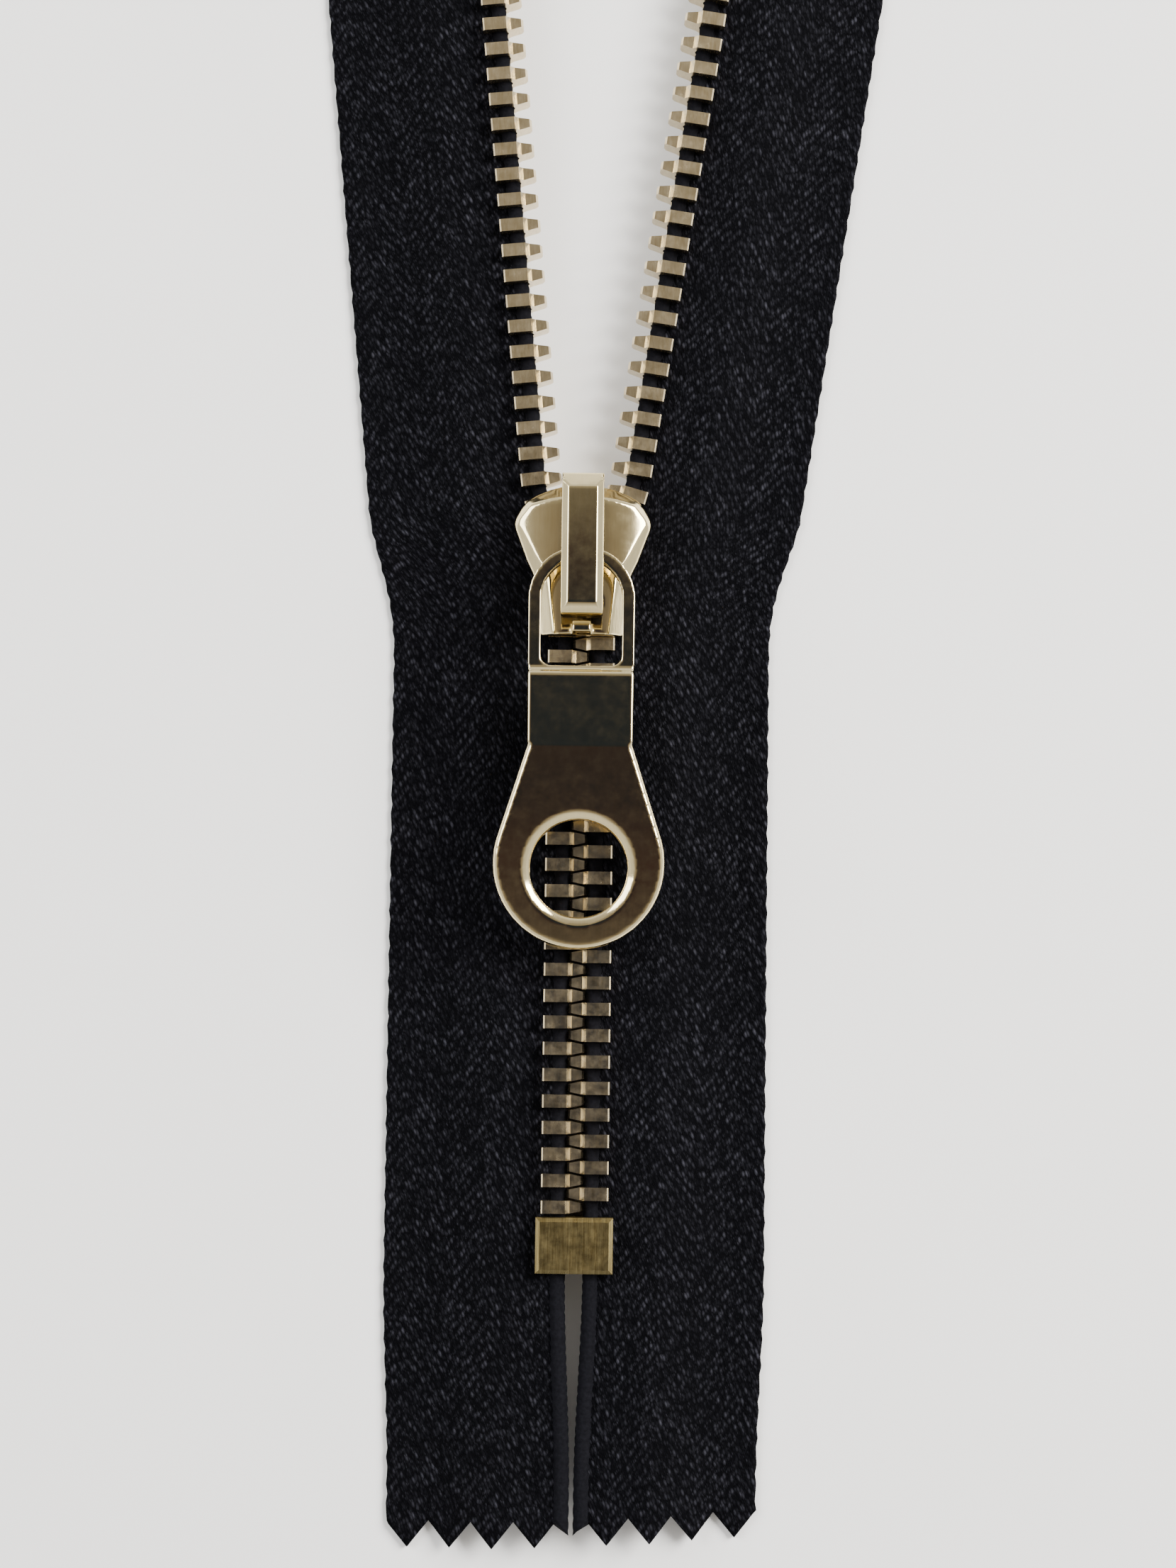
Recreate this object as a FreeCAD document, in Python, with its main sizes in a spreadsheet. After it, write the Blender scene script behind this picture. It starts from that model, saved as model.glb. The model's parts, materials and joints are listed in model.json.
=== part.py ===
import FreeCAD, Part
import math
import os

import Sketcher

# A closed-end metal zipper, lying flat. X is the width, Y the length (towards the open end) and Z is up.
# The origin is the centre of the slider's flat underside, on the surface that the zipper lies on.
# Below the slider the two stringers are meshed; above it they stand apart, each turned about a pivot on
# the axis, with a smooth bend between the two.

Vector = FreeCAD.Vector
TOLERANCE = 1e-3
PINCH_STEPS = 6
BEND_ROUNDS = 12
# the ends and the centre of a sketch element
START, END, CENTRE = 1, 2, 3
doc = FreeCAD.newDocument("Zipper")
sheet = doc.addObject("Spreadsheet::Sheet", "Sizes")

DIMENSIONS = {
    # the chain: both rows share one pitch, half a pitch apart
    "chain_mid": 2.5,
    "tooth_pitch": 2.2,
    "left_first_tooth": -54.2,
    "right_first_tooth": -53.1,
    "teeth_per_group": 4,
    "lower_groups": 6,
    "upper_groups": 11,
    # one tooth, drawn about the mid-plane
    "tooth_thickness": 1.07,
    "leg_outer": 2.81,
    "leg_inner": 0.8,
    "leg_half_height": 1.45,
    "shoulder_inner": 0.42,
    "head_half_height": 0.95,
    "nose_start": 0.48,
    "head_reach": 0.66,
    "nose_half_height": 0.55,
    "head_tip_half": 0.31,
    "tooth_half": 0.535,
    "taper_outer": 1.0,
    "taper_end": 1.2,
    "nib_radius": 0.35,
    "nib_offset": 0.42,
    "socket_radius": 0.42,
    "socket_offset": 0.56,
    "tooth_bevel": 0.12,
    # tape and cord
    "cord_centre": 1.4,
    "cord_radius": 0.7,
    "cord_bore_radius": 0.75,
    "tape_thickness": 0.6,
    "tape_slot_half": 0.34,
    "tape_inner": 2.15,
    "tape_outer": 16.05,
    "tape_bottom": -80.1,
    "tape_top": 115.0,
    "pinking_depth": 2.2,
    "pinks_per_tape": 4,
    # the branches: where the lower and upper bodies meet, the bend, its pivots and angles
    "split": -2.0,
    "split_gap": 0.05,
    "bend_start": -5.0,
    "bend_length": 13.0,
    "bend_slant": 10.0,
    "bend_margin": 3.5,
    "station_step": 1.2,
    "left_pivot": -18.9,
    "left_angle": 5.5,
    "right_pivot": -12.2,
    "right_angle": 8.5,
    # below the bottom stop the tapes draw together
    "pinch": 0.55,
    "pinch_length": 18.0,
    # stops
    "stop_half_width": 3.23,
    "stop_rear": -59.7,
    "stop_front": -55.05,
    "stop_half_height": 1.7,
    "stop_bevel": 0.35,
    "end_stop_start": 95.6,
    "end_stop_finish": 98.8,
    "end_stop_outer": 3.0,
    "end_stop_inner": 0.5,
    # slider body
    "slider_height": 5.0,
    "dome_top": 5.45,
    "dome_half": 7.0,
    "dome_edge": 3.95,
    "dome_radius": 17.08,
    "dome_above": 9.0,
    "plate": 0.9,
    "wing_front_half": 4.9,
    "wing_front": 5.23,
    "front_radius": 8.9,
    "wing_half": 5.95,
    "wing_y": 3.3,
    "wing_rear_half": 4.72,
    "wing_rear": 0.0,
    "waist_half": 4.0,
    "waist": -1.5,
    "rear_half": 3.5,
    "rear": -6.35,
    "wing_radius": 1.5,
    "shoulder_radius": 3.0,
    "facet_width": 1.35,
    "facet_drop": 1.35,
    "channel_height": 3.2,
    "channel_rear_half": 3.02,
    "channel_bend": -3.5,
    "channel_waist_half": 3.5,
    "channel_waist": -1.6,
    "channel_shoulder_half": 4.1,
    "channel_shoulder": 1.8,
    "channel_front_half": 5.15,
    "channel_front": 7.2,
    "channel_behind": -7.0,
    "slot_low": 2.05,
    "slot_high": 0.9,
    "slot_inner": 2.2,
    "slot_outer": 7.0,
    "post_rear": 2.7,
    "post_front": 6.2,
    "post_mouth": 6.6,
    "post_rear_half": 0.25,
    "post_front_half": 1.2,
    "lug_half": 0.8,
    "front_lug_rear": 5.1,
    "front_lug_front": 6.1,
    "rear_lug_rear": -6.2,
    "rear_lug_front": -5.3,
    "lug_height": 1.5,
    "lock_hole_inner": 0.85,
    "lock_hole_outer": 1.6,
    "lock_hole_rear": -4.05,
    "lock_hole_front": -3.15,
    "lock_hole_depth": 1.5,
    # crown
    "crown_half": 1.75,
    "crown_rear": -5.9,
    "crown_rear_top": -5.2,
    "crown_shoulder": 8.3,
    "crown_top": 9.4,
    "crown_top_rear": -4.1,
    "crown_top_front": 5.6,
    "crown_front": 6.9,
    "crown_window_rear": -4.6,
    "crown_window_front": 4.2,
    "crown_inner_top": 8.65,
    "crown_round": 1.6,
    "crown_foot": 5.5,
    "crown_bevel_inner": 1.2,
    "crown_bevel_low": 8.9,
    "socket_half": 0.87,
    "socket_height": 1.1,
    "front_socket_rear": 5.03,
    "front_socket_front": 6.17,
    "rear_socket_rear": -6.27,
    "rear_socket_front": -5.23,
    # lock pin
    "pin_half": 1.25,
    "pin_rear": -4.4,
    "pin_front": -1.2,
    "pin_low": 7.0,
    "pin_thickness": 0.4,
    "prong_inner": 0.98,
    "prong_outer": 1.45,
    "prong_rear": -3.85,
    "prong_front": -3.35,
    "prong_low": 3.5,
    # puller
    "ring_low": 6.68,
    "ring_high": 7.92,
    "ring_half_width": 4.45,
    "arch_centre": -3.6,
    "window_half": 3.4,
    "window_bottom": -9.2,
    "window_corner": 0.9,
    "neck_start": -9.55,
    "neck_low": 6.3,
    "neck_high": 8.3,
    "neck_half_width": 4.34,
    "crease": -15.8,
    "teardrop_centre": -25.6,
    "teardrop_radius": 7.15,
    "puller_end": -33.5,
    "puller_end_top": 6.15,
    "puller_end_low": 4.15,
    "hole_y": -26.05,
    "hole_radius": 4.05,
    "hole_bevel": 0.38,
    "puller_bevel": 0.3,
    "blank_half": 9.0,
    "blank_rear": -36.0,
    "blank_front": 3.0,
}

for row, (alias, value) in enumerate(DIMENSIONS.items(), start=1):
    sheet.set(f"A{row}", alias)
    sheet.set(f"B{row}", str(value))
    sheet.setAlias(f"B{row}", alias)
doc.recompute()

nodes = []


def size(alias):
    return float(getattr(sheet, alias))


def signed(name):
    """The value and the expression of a size's name, which may start with a minus sign."""
    alias = name.lstrip("-")
    if name.startswith("-"):
        return -size(alias), f"-Sizes.{alias}"
    return size(alias), f"Sizes.{alias}"


# ---- sketches and features ----


def new_body(label):
    body = doc.addObject("PartDesign::Body", label)
    body.Label = label
    nodes.append(body)
    return body


def new_sketch(body, name, role, height=None):
    """A sketch on one of the body's origin planes, raised by the named size."""
    sketch = body.newObject("Sketcher::SketchObject", name)
    plane = next(f for f in body.Origin.OriginFeatures if f.Role == role)
    sketch.AttachmentSupport = (plane, [""])
    sketch.MapMode = "FlatFace"
    if height:
        sketch.setExpression("AttachmentOffset.Base.z", signed(height)[1])
    return sketch


def bind(sketch, constraint, expression):
    index = sketch.addConstraint(constraint)
    sketch.setExpression(f"Constraints[{index}]", expression)


def pin_point(sketch, geometry, end, corner):
    """Hold one end of a sketch element at a corner given as two named sizes."""
    for kind, axis, name in (("DistanceX", -2, corner[0]), ("DistanceY", -1, corner[1])):
        if name == "zero":
            sketch.addConstraint(Sketcher.Constraint("PointOnObject", geometry, end, axis))
        else:
            value, expression = signed(name)
            bind(sketch, Sketcher.Constraint(kind, -1, START, geometry, end, value), expression)


def corner_point(corner):
    values = [0.0 if name == "zero" else signed(name)[0] for name in corner]
    return Vector(values[0], values[1], 0)


def arc_between(start, finish, radius, major):
    """The counter-clockwise arc from start to finish."""
    chord = finish - start
    inward = Vector(-chord.y, chord.x, 0).normalize()
    depth = math.sqrt(radius**2 - (chord.Length / 2) ** 2)
    centre = (start + finish) * 0.5 + inward * (-depth if major else depth)
    angles = [math.atan2(p.y - centre.y, p.x - centre.x) for p in (start, finish)]
    return Part.ArcOfCircle(Part.Circle(centre, Vector(0, 0, 1), radius), angles[0], angles[1])


def hold_arc(sketch, geometry, radius_name, level_name):
    """Fix an arc whose ends are held: by its radius, or by its centre's level for a half circle."""
    arc = sketch.Geometry[geometry]
    chord = arc.StartPoint.distanceToPoint(arc.EndPoint)
    if abs(chord - 2 * arc.Radius) < TOLERANCE:
        level, expression = signed(level_name)
        bind(sketch, Sketcher.Constraint("DistanceY", -1, START, geometry, CENTRE, level), expression)
    else:
        bind(sketch, Sketcher.Constraint("Radius", geometry, arc.Radius), f"Sizes.{radius_name}")


def draw_outline(sketch, corners, arcs=None, hollows=None):
    """A closed, counter-clockwise outline.

    arcs maps the index of a side that bulges out to (radius name, major), and hollows the index of a
    side that curves into the outline to its radius name.
    """
    arcs = arcs or {}
    hollows = hollows or {}
    points = [corner_point(corner) for corner in corners]
    first = sketch.GeometryCount
    count = len(points)
    for i, start in enumerate(points):
        finish = points[(i + 1) % count]
        if i in arcs:
            radius_name, major = arcs[i]
            geometry = arc_between(start, finish, size(radius_name), major)
        elif i in hollows:
            geometry = arc_between(finish, start, size(hollows[i]), False)
        else:
            geometry = Part.LineSegment(start, finish)
        sketch.addGeometry(geometry, False)
    for i in range(count):
        following = (i + 1) % count
        # a hollow arc runs the other way, so its ends are swapped
        end = START if i in hollows else END
        start = END if i in hollows else START
        next_start = END if following in hollows else START
        join = Sketcher.Constraint("Coincident", first + i, end, first + following, next_start)
        sketch.addConstraint(join)
        pin_point(sketch, first + i, start, corners[i])
        if i in arcs:
            hold_arc(sketch, first + i, arcs[i][0], corners[i][1])
        if i in hollows:
            hold_arc(sketch, first + i, hollows[i], corners[i][1])


def draw_rectangle(sketch, left, bottom, right, top):
    draw_outline(sketch, [(left, bottom), (right, bottom), (right, top), (left, top)])


def draw_circle(sketch, centre, radius):
    index = sketch.addGeometry(
        Part.Circle(corner_point(centre), Vector(0, 0, 1), size(radius)), False
    )
    pin_point(sketch, index, CENTRE, centre)
    bind(sketch, Sketcher.Constraint("Radius", index, size(radius)), f"Sizes.{radius}")


def pad(body, sketch, expression, symmetric=False, down=False):
    feature = body.newObject("PartDesign::Pad", sketch.Name + "_pad")
    feature.Profile = sketch
    feature.setExpression("Length", expression)
    feature.SideType = "Symmetric" if symmetric else "One side"
    feature.Reversed = down
    doc.recompute()
    return feature


def pocket(body, sketch, expression=None, upward=False):
    """Cut the sketch out, through all both ways or by a length up or down from its plane."""
    before = body.Shape.Volume
    feature = body.newObject("PartDesign::Pocket", sketch.Name + "_pocket")
    feature.Profile = sketch
    if expression:
        feature.setExpression("Length", expression)
        feature.Reversed = upward
    else:
        feature.Type = "ThroughAll"
        feature.SideType = "Symmetric"
    doc.recompute()
    check(feature)
    if body.Shape.Volume >= before - TOLERANCE:
        raise RuntimeError(f"{feature.Name} cut nothing")
    return feature


def check(feature):
    """Stop at a feature that did not build."""
    if {"Invalid", "Error", "Touched"} & set(feature.State) or not feature.Shape.isValid():
        raise RuntimeError(f"{feature.Name} failed: {feature.getStatusString()}")


def edges_where(shape, test):
    return [f"Edge{i}" for i, edge in enumerate(shape.Edges, start=1) if test(edge)]


def round_edges(body, test, radius, name):
    base = body.Tip
    feature = body.newObject("PartDesign::Fillet", name)
    feature.Base = (base, edges_where(base.Shape, test))
    feature.setExpression("Radius", f"Sizes.{radius}")
    doc.recompute()
    check(feature)
    return feature


def bevel_edges(body, test, width, name, drop=None, flip=False):
    base = body.Tip
    feature = body.newObject("PartDesign::Chamfer", name)
    feature.Base = (base, edges_where(base.Shape, test))
    feature.setExpression("Size", f"Sizes.{width}")
    if drop:
        feature.ChamferType = "Two distances"
        feature.setExpression("Size2", f"Sizes.{drop}")
        feature.FlipDirection = flip
    doc.recompute()
    check(feature)
    return feature


def edge_span(edge):
    box = edge.BoundBox
    return box.XLength, box.YLength, box.ZLength


def upright(edge):
    """Whether the edge stands along Z."""
    wide, long, tall = edge_span(edge)
    return tall > 0.2 and wide < TOLERANCE and long < TOLERANCE


def level_at(height):
    """A test for edges that lie at one height."""

    def test(edge):
        return edge_span(edge)[2] < TOLERANCE and abs(edge.BoundBox.ZMin - height) < TOLERANCE

    return test


# ---- the bend of the two stringers ----


class Stringer:
    """One side of the zipper: side is -1 on the left and 1 on the right."""

    def __init__(self, name, side):
        self.name = name
        self.side = side
        self.first_tooth = size(f"{name}_first_tooth")
        self.pivot = size(f"{name}_pivot")
        self.angle = -side * math.radians(size(f"{name}_angle"))
        self.slant = math.radians(size("bend_slant"))

    def weight(self, x, y):
        """How far a place has turned with the upper branch: 0 below the bend, 1 above it."""
        along = x * self.side * math.sin(self.slant) + (y - size("bend_start")) * math.cos(self.slant)
        share = min(1.0, max(0.0, along / size("bend_length")))
        return share * share * (3 - 2 * share)

    def opened(self, x, y):
        """Where a place on the closed, straight stringer lies once the branch is opened."""
        drawn = min(1.0, max(0.0, (size("stop_rear") - y) / size("pinch_length")))
        x -= self.side * size("pinch") * drawn * drawn * (3 - 2 * drawn)
        here = (x, y)
        for _ in range(BEND_ROUNDS):
            turn = self.angle * self.weight(*here)
            dy = y - self.pivot
            here = (
                x * math.cos(turn) - dy * math.sin(turn),
                self.pivot + x * math.sin(turn) + dy * math.cos(turn),
            )
        return Vector(here[0], here[1], 0)

    def place(self, across, y):
        """The opened place and direction at a distance across from the axis."""
        here = self.opened(self.side * across, y)
        ahead = self.opened(self.side * across, y + size("split_gap"))
        behind = self.opened(self.side * across, y - size("split_gap"))
        turn = math.degrees(math.atan2(behind.x - ahead.x, ahead.y - behind.y))
        return here, turn

    def stations(self, low, high):
        """Steps along the closed stringer, close together within the bend."""
        bend_low = max(low, size("bend_start") - size("bend_margin"))
        bend_high = min(high, size("bend_start") + size("bend_length") + size("bend_margin"))
        count = max(2, round((bend_high - bend_low) / size("station_step")))
        inside = [bend_low + (bend_high - bend_low) * i / count for i in range(count + 1)]
        pinch_step = size("pinch_length") / PINCH_STEPS
        pinched = [size("stop_rear") - pinch_step * i for i in range(PINCH_STEPS + 1)]
        return sorted({low, high, *inside, *(y for y in pinched if low < y < high)})


LEFT = Stringer("left", -1)
RIGHT = Stringer("right", 1)


# ---- teeth ----


def tooth_body():
    """One tooth of the right row, about the origin: legs out along +X, head across the axis."""
    body = doc.addObject("PartDesign::Body", "tooth_master")
    profile = new_sketch(body, "tooth_profile", "XZ_Plane")
    upper = [
        ("leg_outer", "leg_half_height"),
        ("leg_inner", "leg_half_height"),
        ("shoulder_inner", "head_half_height"),
        ("-nose_start", "head_half_height"),
        ("-head_reach", "nose_half_height"),
    ]
    lower = [(x, "-" + z) for x, z in reversed(upper)]
    draw_outline(profile, upper + lower)
    pad(body, profile, "Sizes.tooth_thickness", symmetric=True)
    bevel_edges(
        body,
        lambda edge: edge_span(edge)[1] > 1 and edge.BoundBox.XMin > size("leg_outer") - TOLERANCE,
        "tooth_bevel",
        "leg_bevel",
    )
    taper = new_sketch(body, "head_taper", "XY_Plane")
    draw_outline(
        taper,
        [
            ("shoulder_inner", "tooth_half"),
            ("shoulder_inner", "taper_outer"),
            ("-taper_end", "taper_outer"),
            ("-taper_end", "head_tip_half"),
            ("-head_reach", "head_tip_half"),
        ],
    )
    draw_outline(
        taper,
        [
            ("-head_reach", "-head_tip_half"),
            ("-taper_end", "-head_tip_half"),
            ("-taper_end", "-taper_outer"),
            ("shoulder_inner", "-taper_outer"),
            ("shoulder_inner", "-tooth_half"),
        ],
    )
    pocket(body, taper)
    slot = new_sketch(body, "tape_slot", "XZ_Plane")
    draw_rectangle(slot, "cord_centre", "-tape_slot_half", "slot_outer", "tape_slot_half")
    pocket(body, slot)
    bore = new_sketch(body, "cord_bore", "XZ_Plane")
    draw_circle(bore, ("cord_centre", "zero"), "cord_bore_radius")
    pocket(body, bore)
    nib = body.newObject("PartDesign::AdditiveSphere", "nib")
    nib.setExpression("Radius", "Sizes.nib_radius")
    nib.setExpression("AttachmentOffset.Base.y", "Sizes.nib_offset")
    doc.recompute()
    socket = body.newObject("PartDesign::SubtractiveSphere", "socket")
    socket.setExpression("Radius", "Sizes.socket_radius")
    socket.setExpression("AttachmentOffset.Base.y", "-Sizes.socket_offset")
    doc.recompute()
    return body


def add_shape(label, shape):
    """A sub-part whose shape follows the bend of a stringer."""
    feature = doc.addObject("Part::Feature", label)
    feature.Label = label
    feature.Shape = shape
    feature.Placement = FreeCAD.Placement(Vector(0, 0, size("chain_mid")), FreeCAD.Rotation())
    nodes.append(feature)
    return feature


def placed(shape, stringer, y):
    """A copy of a right-hand chain piece, set on its row at y."""
    across = size("cord_centre")
    here, turn = stringer.place(across, y)
    copy = shape.copy()
    copy.translate(Vector(-across, 0, 0))
    if stringer.side < 0:
        copy = copy.mirror(Vector(0, 0, 0), Vector(1, 0, 0))
    copy.rotate(Vector(0, 0, 0), Vector(0, 0, 1), turn)
    copy.translate(here)
    return copy


def add_teeth(stringer, tooth):
    per_group = int(size("teeth_per_group"))
    lower_groups = int(size("lower_groups"))
    for group in range(lower_groups + int(size("upper_groups"))):
        ys = [
            stringer.first_tooth + size("tooth_pitch") * (group * per_group + i)
            for i in range(per_group)
        ]
        branch = "lower" if group < lower_groups else "upper"
        label = f"{stringer.name}_{branch}_teeth_{group + 1:02d}"
        add_shape(label, Part.makeCompound([placed(tooth, stringer, y) for y in ys]))


# ---- tapes and cords ----


def pinked_edge(stringer, y, low_end):
    """The zigzag cut of a tape's end, from the inner edge to the outer edge."""
    count = int(size("pinks_per_tape"))
    inner = size("tape_inner")
    pitch = (size("tape_outer") - inner) / count
    out = -1 if low_end else 1
    points = [stringer.opened(stringer.side * inner, y)]
    for i in range(count):
        tip = inner + pitch * (i + 0.5)
        points.append(stringer.opened(stringer.side * tip, y + out * size("pinking_depth")))
        points.append(stringer.opened(stringer.side * (tip + pitch / 2), y))
    return points


def add_tape(stringer, branch, low, high):
    """A flat strip from the cord to the outer edge, between two stations of the closed stringer."""
    ys = stringer.stations(low, high)
    inner = [stringer.opened(stringer.side * size("tape_inner"), y) for y in ys]
    outer = [stringer.opened(stringer.side * size("tape_outer"), y) for y in ys]
    if branch == "lower":
        near_end = [inner[-1], outer[-1]]
        far_end = pinked_edge(stringer, low, True)
        outline = far_end + outer[1:] + list(reversed(inner[1:]))
    else:
        near_end = [inner[0], outer[0]]
        far_end = pinked_edge(stringer, high, False)
        outline = near_end + outer[1:-1] + list(reversed(far_end)) + list(reversed(inner[1:-1]))
    face = Part.Face(Part.makePolygon(outline + [outline[0]]))
    half = size("tape_thickness") / 2
    face.translate(Vector(0, 0, -half))
    add_shape(f"{stringer.name}_tape_{branch}", face.extrude(Vector(0, 0, 2 * half)))


def add_cord(stringer, branch, low, high):
    """A round cord along the tape's inner edge."""
    rings = []
    for y in stringer.stations(low, high):
        here, turn = stringer.place(size("cord_centre"), y)
        angle = math.radians(turn)
        along = Vector(-math.sin(angle), math.cos(angle), 0)
        rings.append(Part.Wire(Part.makeCircle(size("cord_radius"), here, along)))
    add_shape(f"{stringer.name}_cord_{branch}", Part.makeLoft(rings, True, True))


# ---- stops ----


def stop_block(body, left, rear, right, front, bores):
    """A clamped block about the mid-plane, with a slot for the tapes and a bore for each cord."""
    block = new_sketch(body, body.Name + "_block", "XY_Plane")
    draw_rectangle(block, left, rear, right, front)
    pad(body, block, "2 * Sizes.stop_half_height", symmetric=True)
    bevel_edges(body, lambda edge: not upright(edge), "stop_bevel", body.Name + "_edges")
    for i, sign in enumerate(bores):
        slot = new_sketch(body, f"{body.Name}_slot_{i}", "XZ_Plane")
        near, far = ("cord_centre", "slot_outer") if not sign else ("-slot_outer", "-cord_centre")
        draw_rectangle(slot, near, "-tape_slot_half", far, "tape_slot_half")
        pocket(body, slot)
        bore = new_sketch(body, f"{body.Name}_bore_{i}", "XZ_Plane")
        draw_circle(bore, (sign + "cord_centre", "zero"), "cord_bore_radius")
        pocket(body, bore)


def add_bottom_stop():
    body = new_body("bottom_stop")
    stop_block(body, "-stop_half_width", "stop_rear", "stop_half_width", "stop_front", ["", "-"])
    body.setExpression("Placement.Base.z", "Sizes.chain_mid")
    return body


def add_end_stop(stringer):
    """The stop that keeps the slider on its row at the open end."""
    label = f"{stringer.name}_end_stop"
    body = new_body(label)
    if stringer.side > 0:
        edges = ("end_stop_inner", "end_stop_outer")
        bores = [""]
    else:
        edges = ("-end_stop_outer", "-end_stop_inner")
        bores = ["-"]
    stop_block(body, edges[0], "end_stop_start", edges[1], "end_stop_finish", bores)
    turn = FreeCAD.Rotation(Vector(0, 0, 1), math.degrees(stringer.angle))
    pivot = Vector(0, stringer.pivot, 0)
    lift = Vector(0, 0, size("chain_mid"))
    body.Placement = FreeCAD.Placement(pivot - turn.multVec(pivot) + lift, turn)
    return body


# ---- slider ----


def add_slider_body():
    """Two plates with flanges, a Y-shaped channel for the chain and a post that parts the rows."""
    body = new_body("slider_body")
    outline = new_sketch(body, "slider_outline", "XY_Plane")
    left_side = [
        ("-wing_front_half", "wing_front"),
        ("-wing_half", "wing_y"),
        ("-wing_rear_half", "wing_rear"),
        ("-waist_half", "waist"),
        ("-rear_half", "rear"),
    ]
    right_side = [(x[1:], y) for x, y in reversed(left_side)]
    # the last side, from the right wing to the left one, is the rounded front
    draw_outline(outline, left_side + right_side, {9: ("front_radius", False)})
    pad(body, outline, "Sizes.dome_top")

    def at_corner(x_name, y_name):
        def test(edge):
            box = edge.BoundBox
            across = abs(abs(box.XMin) - size(x_name)) < TOLERANCE
            return upright(edge) and across and abs(box.YMin - size(y_name)) < TOLERANCE

        return test

    def wing_tip(edge):
        return at_corner("wing_half", "wing_y")(edge) or at_corner("wing_front_half", "wing_front")(edge)

    def waist(edge):
        return at_corner("wing_rear_half", "wing_rear")(edge) or at_corner("waist_half", "waist")(edge)

    round_edges(body, wing_tip, "wing_radius", "wing_rounding")
    round_edges(body, waist, "shoulder_radius", "waist_rounding")
    top = level_at(size("dome_top"))

    def wing_edge(edge):
        return top(edge) and edge.BoundBox.YMax > size("rear") + TOLERANCE

    bevel_edges(body, wing_edge, "facet_width", "wing_facets", "facet_drop", True)
    dome = new_sketch(body, "dome", "XZ_Plane")
    draw_outline(
        dome,
        [
            ("-dome_half", "dome_edge"),
            ("dome_half", "dome_edge"),
            ("dome_half", "dome_above"),
            ("-dome_half", "dome_above"),
        ],
        hollows={0: "dome_radius"},
    )
    pocket(body, dome)

    channel = new_sketch(body, "channel", "XY_Plane", "plate")
    channel_left = [
        ("-channel_front_half", "channel_front"),
        ("-channel_front_half", "wing_y"),
        ("-channel_shoulder_half", "channel_shoulder"),
        ("-channel_waist_half", "channel_waist"),
        ("-channel_rear_half", "channel_bend"),
        ("-channel_rear_half", "channel_behind"),
    ]
    channel_right = [(x[1:], y) for x, y in reversed(channel_left)]
    draw_outline(channel, channel_left + channel_right)
    pocket(body, channel, "Sizes.channel_height", upward=True)

    post = new_sketch(body, "post", "XY_Plane", "plate")
    draw_outline(
        post,
        [
            ("-post_front_half", "post_front"),
            ("-post_rear_half", "post_rear"),
            ("post_rear_half", "post_rear"),
            ("post_front_half", "post_front"),
            ("zero", "post_mouth"),
        ],
    )
    pad(body, post, "Sizes.channel_height")
    for name, near, far in (
        ("left_slot", "-slot_outer", "-slot_inner"),
        ("right_slot", "slot_inner", "slot_outer"),
    ):
        slot = new_sketch(body, name, "XY_Plane", "slot_low")
        draw_rectangle(slot, near, "channel_behind", far, "channel_front")
        pocket(body, slot, "Sizes.slot_high", upward=True)
    for name in ("front_lug", "rear_lug"):
        lug = new_sketch(body, name, "XY_Plane", "slider_height")
        draw_rectangle(lug, "-lug_half", name + "_rear", "lug_half", name + "_front")
        pad(body, lug, "Sizes.lug_height")
    hole = new_sketch(body, "lock_hole", "XY_Plane", "dome_top")
    draw_rectangle(hole, "lock_hole_inner", "lock_hole_rear", "lock_hole_outer", "lock_hole_front")
    pocket(body, hole, "Sizes.lock_hole_depth")
    return body


def add_crown():
    """The arched cap over the slider body; the puller's ring passes through its window."""
    body = new_body("crown")
    profile = new_sketch(body, "crown_profile", "YZ_Plane")
    draw_outline(
        profile,
        [
            ("crown_rear", "crown_foot"),
            ("crown_window_rear", "crown_foot"),
            ("crown_window_rear", "crown_inner_top"),
            ("crown_window_front", "crown_inner_top"),
            ("crown_window_front", "crown_foot"),
            ("crown_front", "crown_foot"),
            ("crown_front", "crown_shoulder"),
            ("crown_top_front", "crown_top"),
            ("crown_top_rear", "crown_top"),
            ("crown_rear_top", "crown_shoulder"),
        ],
        {8: ("crown_round", False)},
    )
    pad(body, profile, "2 * Sizes.crown_half", symmetric=True)

    corners = new_sketch(body, "crown_corners", "XZ_Plane")
    for sign in ("", "-"):
        triangle = [
            (sign + "crown_bevel_inner", "crown_top"),
            (sign + "crown_half", "crown_bevel_low"),
            (sign + "crown_half", "crown_top"),
        ]
        draw_outline(corners, triangle if not sign else list(reversed(triangle)))
    pocket(body, corners)
    for name in ("front_socket", "rear_socket"):
        socket = new_sketch(body, name, "XY_Plane", "crown_foot")
        draw_rectangle(socket, "-socket_half", name + "_rear", "socket_half", name + "_front")
        pocket(body, socket, "Sizes.socket_height", upward=True)
    return body


def add_lock_pin():
    """A sprung pawl: a plate behind the ring's bar, and a prong down through the slider's top."""
    body = new_body("lock_pin")
    plate = new_sketch(body, "pin_plate", "XY_Plane", "pin_low")
    draw_rectangle(plate, "-pin_half", "pin_rear", "prong_outer", "pin_front")
    pad(body, plate, "Sizes.pin_thickness")
    prong = new_sketch(body, "prong", "XY_Plane", "prong_low")
    draw_rectangle(prong, "prong_inner", "prong_rear", "prong_outer", "prong_front")
    pad(body, prong, "Sizes.pin_low - Sizes.prong_low + Sizes.pin_thickness / 2")
    return body


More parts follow.
